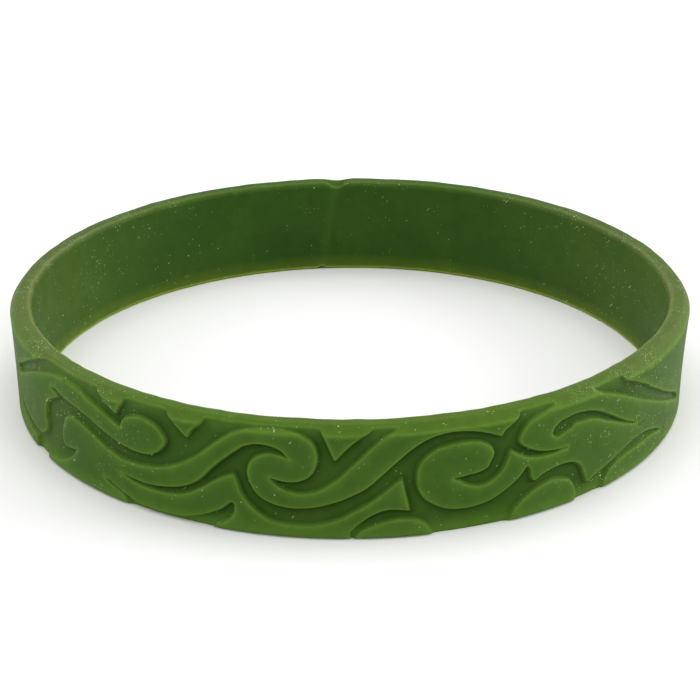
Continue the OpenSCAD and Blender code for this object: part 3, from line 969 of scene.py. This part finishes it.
# %% [markdown]
# ## Marks that the finish will read
#
# The finish changes from place to place, so the mesh carries a few numbers
# for each point, and the material reads them by name. Several of them paint
# light and shade into the colour. A painted glow lightens each shoulder, as
# light that enters the slightly clear silicone would, and painted shade darkens
# the foot of each wall. The painted light comes from the upper left, so the
# ground is darkest where a form stands above it and to its left. Near the upper
# rim and at the ends of the relief the ground is painted lighter.

# %% Painted glow and painted shade of the relief
def carry(name, values):
    """One float for each point. A Mix node cuts it off at 0 and 1."""
    attribute = skin.data.attributes.new(name, "FLOAT", "POINT")
    attribute.data.foreach_set("value", values.astype(np.float32))


def fades(distance, run):
    """exp(-distance / run): 1 at no distance, and less further away."""
    return np.exp(-distance / run)


outside = np.clip(1 + push / relief_d, 0, 1) * (share == 1)
on_wall = grows(distance, FOOT, SHOULDER - FOOT)
in_cut = grows(plain - cut, 0, 0.15)        # 1 where the cut has taken rubber away
under_rim = grows(height, 9.3, 1.2)         # 1 on the last half millimetre below the rim
at_end = grows(np.abs(chart_s), 28.2, 6.0)  # 1 at the two ends of the relief
# Painted shade: the sunken ground is painted darker than the raised faces, and less so under the upper rim
# and at the ends of the relief, where more light reaches it.
sunken = in_cut * np.clip(depth / relief_d, 0, 1)
carry("raised", 1 - sunken * (1 - under_rim) * (1 - at_end))

# Painted glow: a lighter band along the shoulder of each raised form.
quick, quick_run, slow_run = 0.65, 0.13, 0.5    # part of the glow that fades quickly
from_shoulder = np.maximum(distance - SHOULDER, 0)
painted_glow = quick * fades(from_shoulder, quick_run) + (1 - quick) * fades(from_shoulder, slow_run)
carry("painted_glow", painted_glow * on_wall * outside)

# Painted shade at the foot of each wall, strongest in the lee of the light from the upper left.
shade_run = 0.36
all_round = 0.62                            # part of the shade that every foot has
light_up, light_left = 0.85, 0.5            # where the light comes from, on the drawing
to_form = light_up * uphill[:, 1] - light_left * uphill[:, 0]
less = np.where(chart_s < 0, 0.45, 0.3)     # how much weaker it is at the relief's ends
lee = all_round + (1 - all_round) * to_form - less * at_end
from_foot = np.maximum(FOOT - distance, 0)
lit_rim = 0.6                               # part of the shade that the upper rim takes away
painted_shade = fades(from_foot, shade_run) * (1 - on_wall) * in_cut * lee * (1 - lit_rim * under_rim)
carry("painted_shade", painted_shade)
print("shade up to", round(float(lee.max()), 2), "of full strength")

# %% [markdown]
# Thin painted highlights run along the edges: where the cut meets the bevel,
# where a raised face turns into it, and along the lower outer edge. The upper
# rim is painted pale with light, most at the front, and so is the ground just
# under the rim; the inner wall at the sides is paler too, partly painted light
# and partly dust. A pale line painted along the inner edge above is a
# highlight, and painted light runs along the lip at the foot of the inner wall.

# %% Painted light on edges, rims and the inner wall
def near_line(radius_mm, z_mm, width):
    """1 on a circle round the hoop, given by radius and height, fading away
    from it over the width."""
    flat_radius = share * outer_r + inward * inner_r + push
    return bump(np.hypot(flat_radius - radius_mm, height - z_mm), width)


# Painted highlights: thin light lines along the upper and lower outer edges.
deep = 0.6 * relief_d                       # parts the ground from the raised faces
cut_line, face_line, low_line = 0.14, 0.18, 1.1     # widths of the lines
inner_line, lip_line = 0.2, 0.18
edge_of_cut = bump(plain - cut, cut_line) * (depth > deep)
edge_of_face = near_line(outer_r - 0.05, band_w - 0.9 * bevel_down, face_line) * (depth < deep)
upper_highlights = (edge_of_cut + 1.4 * edge_of_face) * (height > band_w / 2)
carry("edge_highlights", upper_highlights + near_line(outer_r, 0, low_line))

inside = inward * (height < band_w - lip_r)
side = grows(np.abs(np.sin(chart_s / outer_r)), 0.45, 0.5)
front = grows(np.cos(chart_s / outer_r), -0.5, 1.0)
rim = grows(height, band_w - bevel_down, 0.3) * (1 - in_cut) * (1 - inside)
# Painted light on the upper rim, most at the front, and on the ground under it; on the sides of the inner
# wall it is partly painted light and partly dust.
painted_rim_light = rim * front * (1 - 0.3 * side)
wall_light_and_dust = 0.5 * inside * side ** 3
painted_ground_light = 0.3 * under_rim * in_cut
carry("pale_light_and_dust", painted_rim_light + wall_light_and_dust + painted_ground_light)
# Painted highlight: a pale line along the inner edge above, stronger towards the sides.
carry("inner_edge_highlight", near_line(inner_r + 0.2, band_w, inner_line) * (0.3 + 0.2 * side))
# Painted light along the lip at the foot of the inner wall.
carry("lip_light", near_line(inner_r, 0.2, lip_line))
carry("inside", inside)
print("points on the inner wall:", int(inside.sum()))

# %% [markdown]
# Dust lies on the whole band, but most of it on the rims and towards the two
# sides. The first numbers are the part that lies everywhere and what the rim
# adds. The others are what the sides of the band add outside, inside and on the
# rim. The haze towards the sides is partly fine dust and partly painted sheen.
# The seam shows as a lighter line.

# %% Dust, haze with painted sheen, and seam
dust_all, dust_rim = 0.10, 0.25
side_out, side_in, side_rim = 0.75, 0.3, 0.35
haze_out, haze_in, haze_rim = 0.016, 0.008, 0.028
dust_part = dust_all + side * (side_out * share + side_in * inward) + (dust_rim + side_rim * side) * rim
carry("dusty", np.clip(dust_part, 0, 1))
# Painted sheen with fine dust: a pale haze towards the sides of the band.
carry("haze_and_sheen", side * (haze_out * share + haze_in * inward + haze_rim * rim))
carry("seam", bump(from_seam, 0.6) * inward)
print("attributes:", [a.name for a in skin.data.attributes if a.data_type == "FLOAT"])

# %% [markdown]
# ## Writing shaders as formulas
#
# Node trees are easier to read as maths. A Signal wraps one output socket,
# and + - * on it add Math nodes. Everything else goes through one method,
# which takes the node's type, its settings and what goes into its sockets.

# %% A small language for nodes
class Signal:
    """The value that comes out of a node's socket."""

    def __init__(self, recipe, socket):
        self.recipe = recipe
        self.socket = socket

    def math(self, operation, first, second):
        """A Math node that works on two signals or numbers."""
        return self.recipe.node("ShaderNodeMath", {"operation": operation}, {0: first, 1: second})

    def __add__(self, other):
        return self.math("ADD", self, other)

    def __radd__(self, other):
        return self.math("ADD", other, self)

    def __sub__(self, other):
        return self.math("SUBTRACT", self, other)

    def __rsub__(self, other):
        return self.math("SUBTRACT", other, self)

    def __mul__(self, other):
        return self.math("MULTIPLY", self, other)

    def __rmul__(self, other):
        return self.math("MULTIPLY", other, self)


class Recipe:
    """A material and the nodes in it."""

    def __init__(self, name):
        self.material = bpy.data.materials.new(name)
        self.material.use_nodes = True
        self.tree = self.material.node_tree
        self.shader = self.tree.nodes["Principled BSDF"]

    def node(self, kind, settings, sockets, output=0):
        """Adds a node, sets it up, fills its sockets and returns one output."""
        made = self.tree.nodes.new(kind)
        for name, value in settings.items():
            setattr(made, name, value)
        self.fill(made, sockets)
        return Signal(self, made.outputs[output])

    def fill(self, made, sockets):
        """Sets a node's sockets to constants, or links signals to them."""
        for key, value in sockets.items():
            if isinstance(value, Signal):
                self.tree.links.new(value.socket, made.inputs[key])
            else:
                made.inputs[key].default_value = value

    def mix(self, factor, first, second):
        """Colour between first (factor 0) and second (factor 1)."""
        return self.node("ShaderNodeMix", {"data_type": "RGBA"}, {0: factor, 6: first, 7: second}, 2)

    def ramp(self, value, low, high):
        """0 below low, 1 above high, and in between t^2 (3 - 2 t)."""
        return self.node("ShaderNodeMapRange", {"interpolation_type": "SMOOTHSTEP"},
                         {"Value": value, "From Min": low, "From Max": high})

    def carried(self, name):
        """A number that the mesh carries for each point."""
        return self.node("ShaderNodeAttribute", {"attribute_name": name}, {}, "Fac")


print("operators ready")

# %% [markdown]
# ## Green rubber
#
# Silicone is coloured all through. A single green under soft light would
# leave the relief flat, so light and shade are painted into the colour. It is
# built up as washes of paint are: each number that the mesh carries says how
# strongly the next colour covers what lies below it. Shoulders, edges and rims
# get painted light and come out lighter and yellower; the ground between the
# scrolls and the inner wall get painted shade and come out darker and deeper.

# %% Base colours of the rubber
rubber = Recipe("green_rubber")
place = rubber.node("ShaderNodeTexCoord", {}, {}, "Object")

# The ground's darker green is painted shade of the sunken relief.
SHADED_GROUND = (0.031, 0.077, 0.010, 1)
FACE = (0.042, 0.099, 0.0145, 1)
LIGHT_GREEN = (0.094, 0.190, 0.024, 1)             # painted glow and edge highlights; also the lighter clouds and the seam line
DARK_GREEN = (0.006, 0.021, 0.002, 1)            # painted shade at the feet of walls; also the darker mottle
# The inner wall's darker green is painted shade inside the hoop.
SHADED_INSIDE = (0.029, 0.073, 0.011, 1)
PALE_LIGHT = (0.114, 0.194, 0.022, 1)
INNER_EDGE_LIGHT = (0.210, 0.245, 0.070, 1)
LIT_LIP = (0.300, 0.400, 0.040, 1)

washes = [                                  # carried number, strength, colour
    ("raised", 1.0, FACE),
    ("inside", 1.0, SHADED_INSIDE),
    ("pale_light_and_dust", 0.42, PALE_LIGHT),
    ("painted_shade", 1.0, DARK_GREEN),
    ("painted_glow", 0.95, LIGHT_GREEN),
    ("edge_highlights", 0.75, LIGHT_GREEN),
    ("inner_edge_highlight", 1.0, INNER_EDGE_LIGHT),
    ("lip_light", 0.8, LIT_LIP),
    ("seam", 0.12, LIGHT_GREEN)]
green = SHADED_GROUND
for name, strength, colour in washes:
    green = rubber.mix(rubber.carried(name) * strength, green, colour)
print("washes of colour:", len(washes))

# %% [markdown]
# The colour is never quite even. A slow cloud of noise makes it drift, and a
# finer one mottles it.

# %% Cloudy colour
def noise(scale, detail):
    """Clouds in object space, about as many per metre as the scale says."""
    return rubber.node("ShaderNodeTexNoise", {}, {"Vector": place, "Scale": scale, "Detail": detail}, "Fac")


cloud = noise(140.0, 3.0)
mottle = noise(900.0, 2.0)
green = rubber.mix(rubber.ramp(cloud, 0.3, 0.7) * 0.15, green, LIGHT_GREEN)
green = rubber.mix(rubber.ramp(mottle, 0.35, 0.75) * 0.12, green, DARK_GREEN)
print("clouds added")

# %% [markdown]
# ## Dust and lint
#
# Silicone picks up dust. Voronoi cells scatter one point in each small cube
# of space; the surface is dusty where it passes close to such a point.
# Turning space and then squashing it along one axis stretches the specks into
# short fibres that lie in one direction, so three turns give a tangle. Cells
# draw random numbers: one says whether the cell holds a speck, with more of
# them on the rims and the sides, and another how bright it is. A noise makes
# dust gather in patches. The finest dust can't be seen one by one and is a
# thin pale haze, which towards the sides of the band is also painted sheen.

# %% Dust specks and short fibres
patches = noise(260.0, 2.0)
between, within = 0.35, 1.3               # dust between the patches, and what they add
dusty = rubber.carried("dusty") * (between + within * rubber.ramp(patches, 0.4, 0.65))


def specks(vector, scale, size, share):
    """Brightness of a speck nearer than size to its cell's point, in that
    share of the cells, and in fewer where it is less dusty. The square of a
    drawn number makes most specks faint and a few bright."""
    cells = {"Vector": vector, "Scale": scale}
    gap = rubber.node("ShaderNodeTexVoronoi", {}, cells, "Distance")
    colour = rubber.node("ShaderNodeTexVoronoi", {}, cells, "Color")
    draw = rubber.node("ShaderNodeSeparateColor", {}, {"Color": colour}, "Red")
    bright = rubber.node("ShaderNodeSeparateColor", {}, {"Color": colour}, "Green")
    limit = 1 - share * dusty
    held = rubber.ramp(draw, limit, limit + 0.02)
    return (1 - rubber.ramp(gap, size * 0.4, size)) * held * (0.2 + 0.8 * bright * bright)


def along(turn, stretch):
    """Object space turned, then squashed along X."""
    turned = rubber.node("ShaderNodeVectorRotate", {"rotation_type": "EULER_XYZ"},
                         {"Vector": place, "Rotation": turn}, "Vector")
    return rubber.node("ShaderNodeVectorMath", {"operation": "MULTIPLY"},
                       {0: turned, 1: (1 / stretch, 1, 1)}, "Vector")


# A scale is a number of cells per metre, and a size is a part of a cell.
fine = specks(place, 2400.0, 0.17, 0.9)
coarse = specks(place, 1200.0, 0.12, 0.8)
fibres = specks(along((0.0, 0.9, 0.3), 7.0), 2400.0, 0.15, 0.7)
hairs = specks(along((1.2, -0.8, 1.1), 9.0), 2200.0, 0.13, 0.7)
threads = specks(along((0.4, 1.5, -0.7), 6.0), 2600.0, 0.16, 0.7)
powder = specks(place, 4600.0, 0.3, 0.6) * dusty * 0.5
dust = rubber.node("ShaderNodeMath", {"operation": "ADD", "use_clamp": True},
                   {0: fine * 0.8 + coarse + powder, 1: (fibres + hairs + threads) * 0.8})
DUST = (0.58, 0.66, 0.38, 1)
# The haze colour is partly fine dust and partly painted sheen where the band turns away.
HAZE_AND_SHEEN = (0.80, 0.45, 0.42, 1)
green = rubber.mix(rubber.carried("haze_and_sheen"), green, HAZE_AND_SHEEN)
rubber.fill(rubber.shader, {"Base Color": rubber.mix(dust, green, DUST)})
print("dust added")

# %% [markdown]
# ## Matt skin
#
# Roughness drifts a little with the cloud and is higher on dust, and a fine
# grain breaks up the shine. The rest of the finish is the same everywhere and
# is set on the shader itself: a very faint shine, tinted yellow, and a little
# light that wanders inside.

# %% Roughness, grain and constants
rough = 0.46 + rubber.ramp(cloud, 0.2, 0.8) * 0.08 + dust * 0.3
grain = noise(2600.0, 3.0)
bumps = rubber.node("ShaderNodeBump", {}, {"Strength": 0.12, "Distance": 0.05 * MM, "Height": grain + dust})
rubber.fill(rubber.shader, {
    "Roughness": rough,
    "Normal": bumps,
    "IOR": 1.41,
    "Specular IOR Level": 0.04,
    "Specular Tint": (1.0, 1.0, 0.6, 1.0),
    "Subsurface Weight": 0.12,
    "Subsurface Radius": (0.6, 1.0, 0.25),
    "Subsurface Scale": 0.9 * MM})
skin.data.materials.append(rubber.material)
print("nodes in the rubber:", len(rubber.tree.nodes))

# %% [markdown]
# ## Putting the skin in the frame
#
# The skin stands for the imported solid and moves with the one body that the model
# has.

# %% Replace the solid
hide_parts("band")
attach(skin, "root")
print("the skin replaces the node band")

# %% [markdown]
# ## Floor
#
# The band lies on a plain floor as pale as paper, so wide that its edge lies
# far outside the picture. It is a hair lower than the band, so that the two
# skins don't fight for the same place.

# %% Floor
floor_half = 1500.0
below = 0.02
floor_points = np.array([[x, y, -below] for x, y in ((-1, -1), (1, -1), (1, 1), (-1, 1))])
floor_points[:, :2] *= floor_half
floor = mesh_of("floor", floor_points, np.arange(4), np.array([4]))
paper = Recipe("white_paper")
paper.fill(paper.shader, {"Base Color": (0.90, 0.90, 0.89, 1), "Roughness": 0.9, "Specular IOR Level": 0.1})
floor.data.materials.append(paper.material)
print("floor", 2 * floor_half * MM, "m wide")

# %% [markdown]
# ## Light
#
# The picture has hardly a shadow, so a bright room all round does most of the
# lighting. Three square panels give it a little direction: one above, and one
# on each side, the right one the strongest. The colours were mixed for the
# Standard view, which shows them as they are.

# %% Soft light
room_light = 0.85
world = bpy.data.worlds.new("bright_room")
world.use_nodes = True
background = world.node_tree.nodes["Background"]
background.inputs["Color"].default_value = (1.0, 1.0, 1.0, 1)
background.inputs["Strength"].default_value = room_light
bpy.context.scene.world = world


def panel(name, place_mm, size_mm, watts):
    """A square light panel that looks at the middle of the band."""
    light = bpy.data.lights.new(name, "AREA")
    light.shape = "SQUARE"
    light.size = size_mm * MM
    light.energy = watts
    made = bpy.data.objects.new(name, light)
    made.location = Vector(place_mm) * MM
    made.rotation_mode = "QUATERNION"
    made.rotation_quaternion = (-made.location).to_track_quat("-Z", "Y")
    bpy.context.scene.collection.objects.link(made)


panel("panel_above", (0, 0, 500), size_mm=420, watts=0.8)
panel("panel_left", (-500, 0, 200), size_mm=300, watts=0.5)
panel("panel_right", (500, 0, 200), size_mm=300, watts=1.35)
bpy.context.scene.view_settings.view_transform = "Standard"

# %% [markdown]
# ## Camera
#
# The camera looks from where the picture was taken: 24 degrees above the
# floor, through a long lens, tipped sideways by a fraction of a degree.

# %% Camera
camera_mm = (0.09, -178.1, 81.76)
target_mm = (0.09, 0.0, 3.32)
tip_deg = -0.27
lens = bpy.data.cameras.new("camera")
lens.sensor_width = 36.0
lens.lens = 93.6
lens.clip_start = 0.01
camera = bpy.data.objects.new("camera", lens)
camera.location = Vector(camera_mm) * MM
gaze = (Vector(target_mm) - Vector(camera_mm)).to_track_quat("-Z", "Y")
camera.rotation_mode = "QUATERNION"
camera.rotation_quaternion = gaze @ Quaternion((0, 0, 1), math.radians(tip_deg))
bpy.context.scene.collection.objects.link(camera)
bpy.context.scene.camera = camera
print("camera", round((Vector(target_mm) - Vector(camera_mm)).length), "mm from its target")
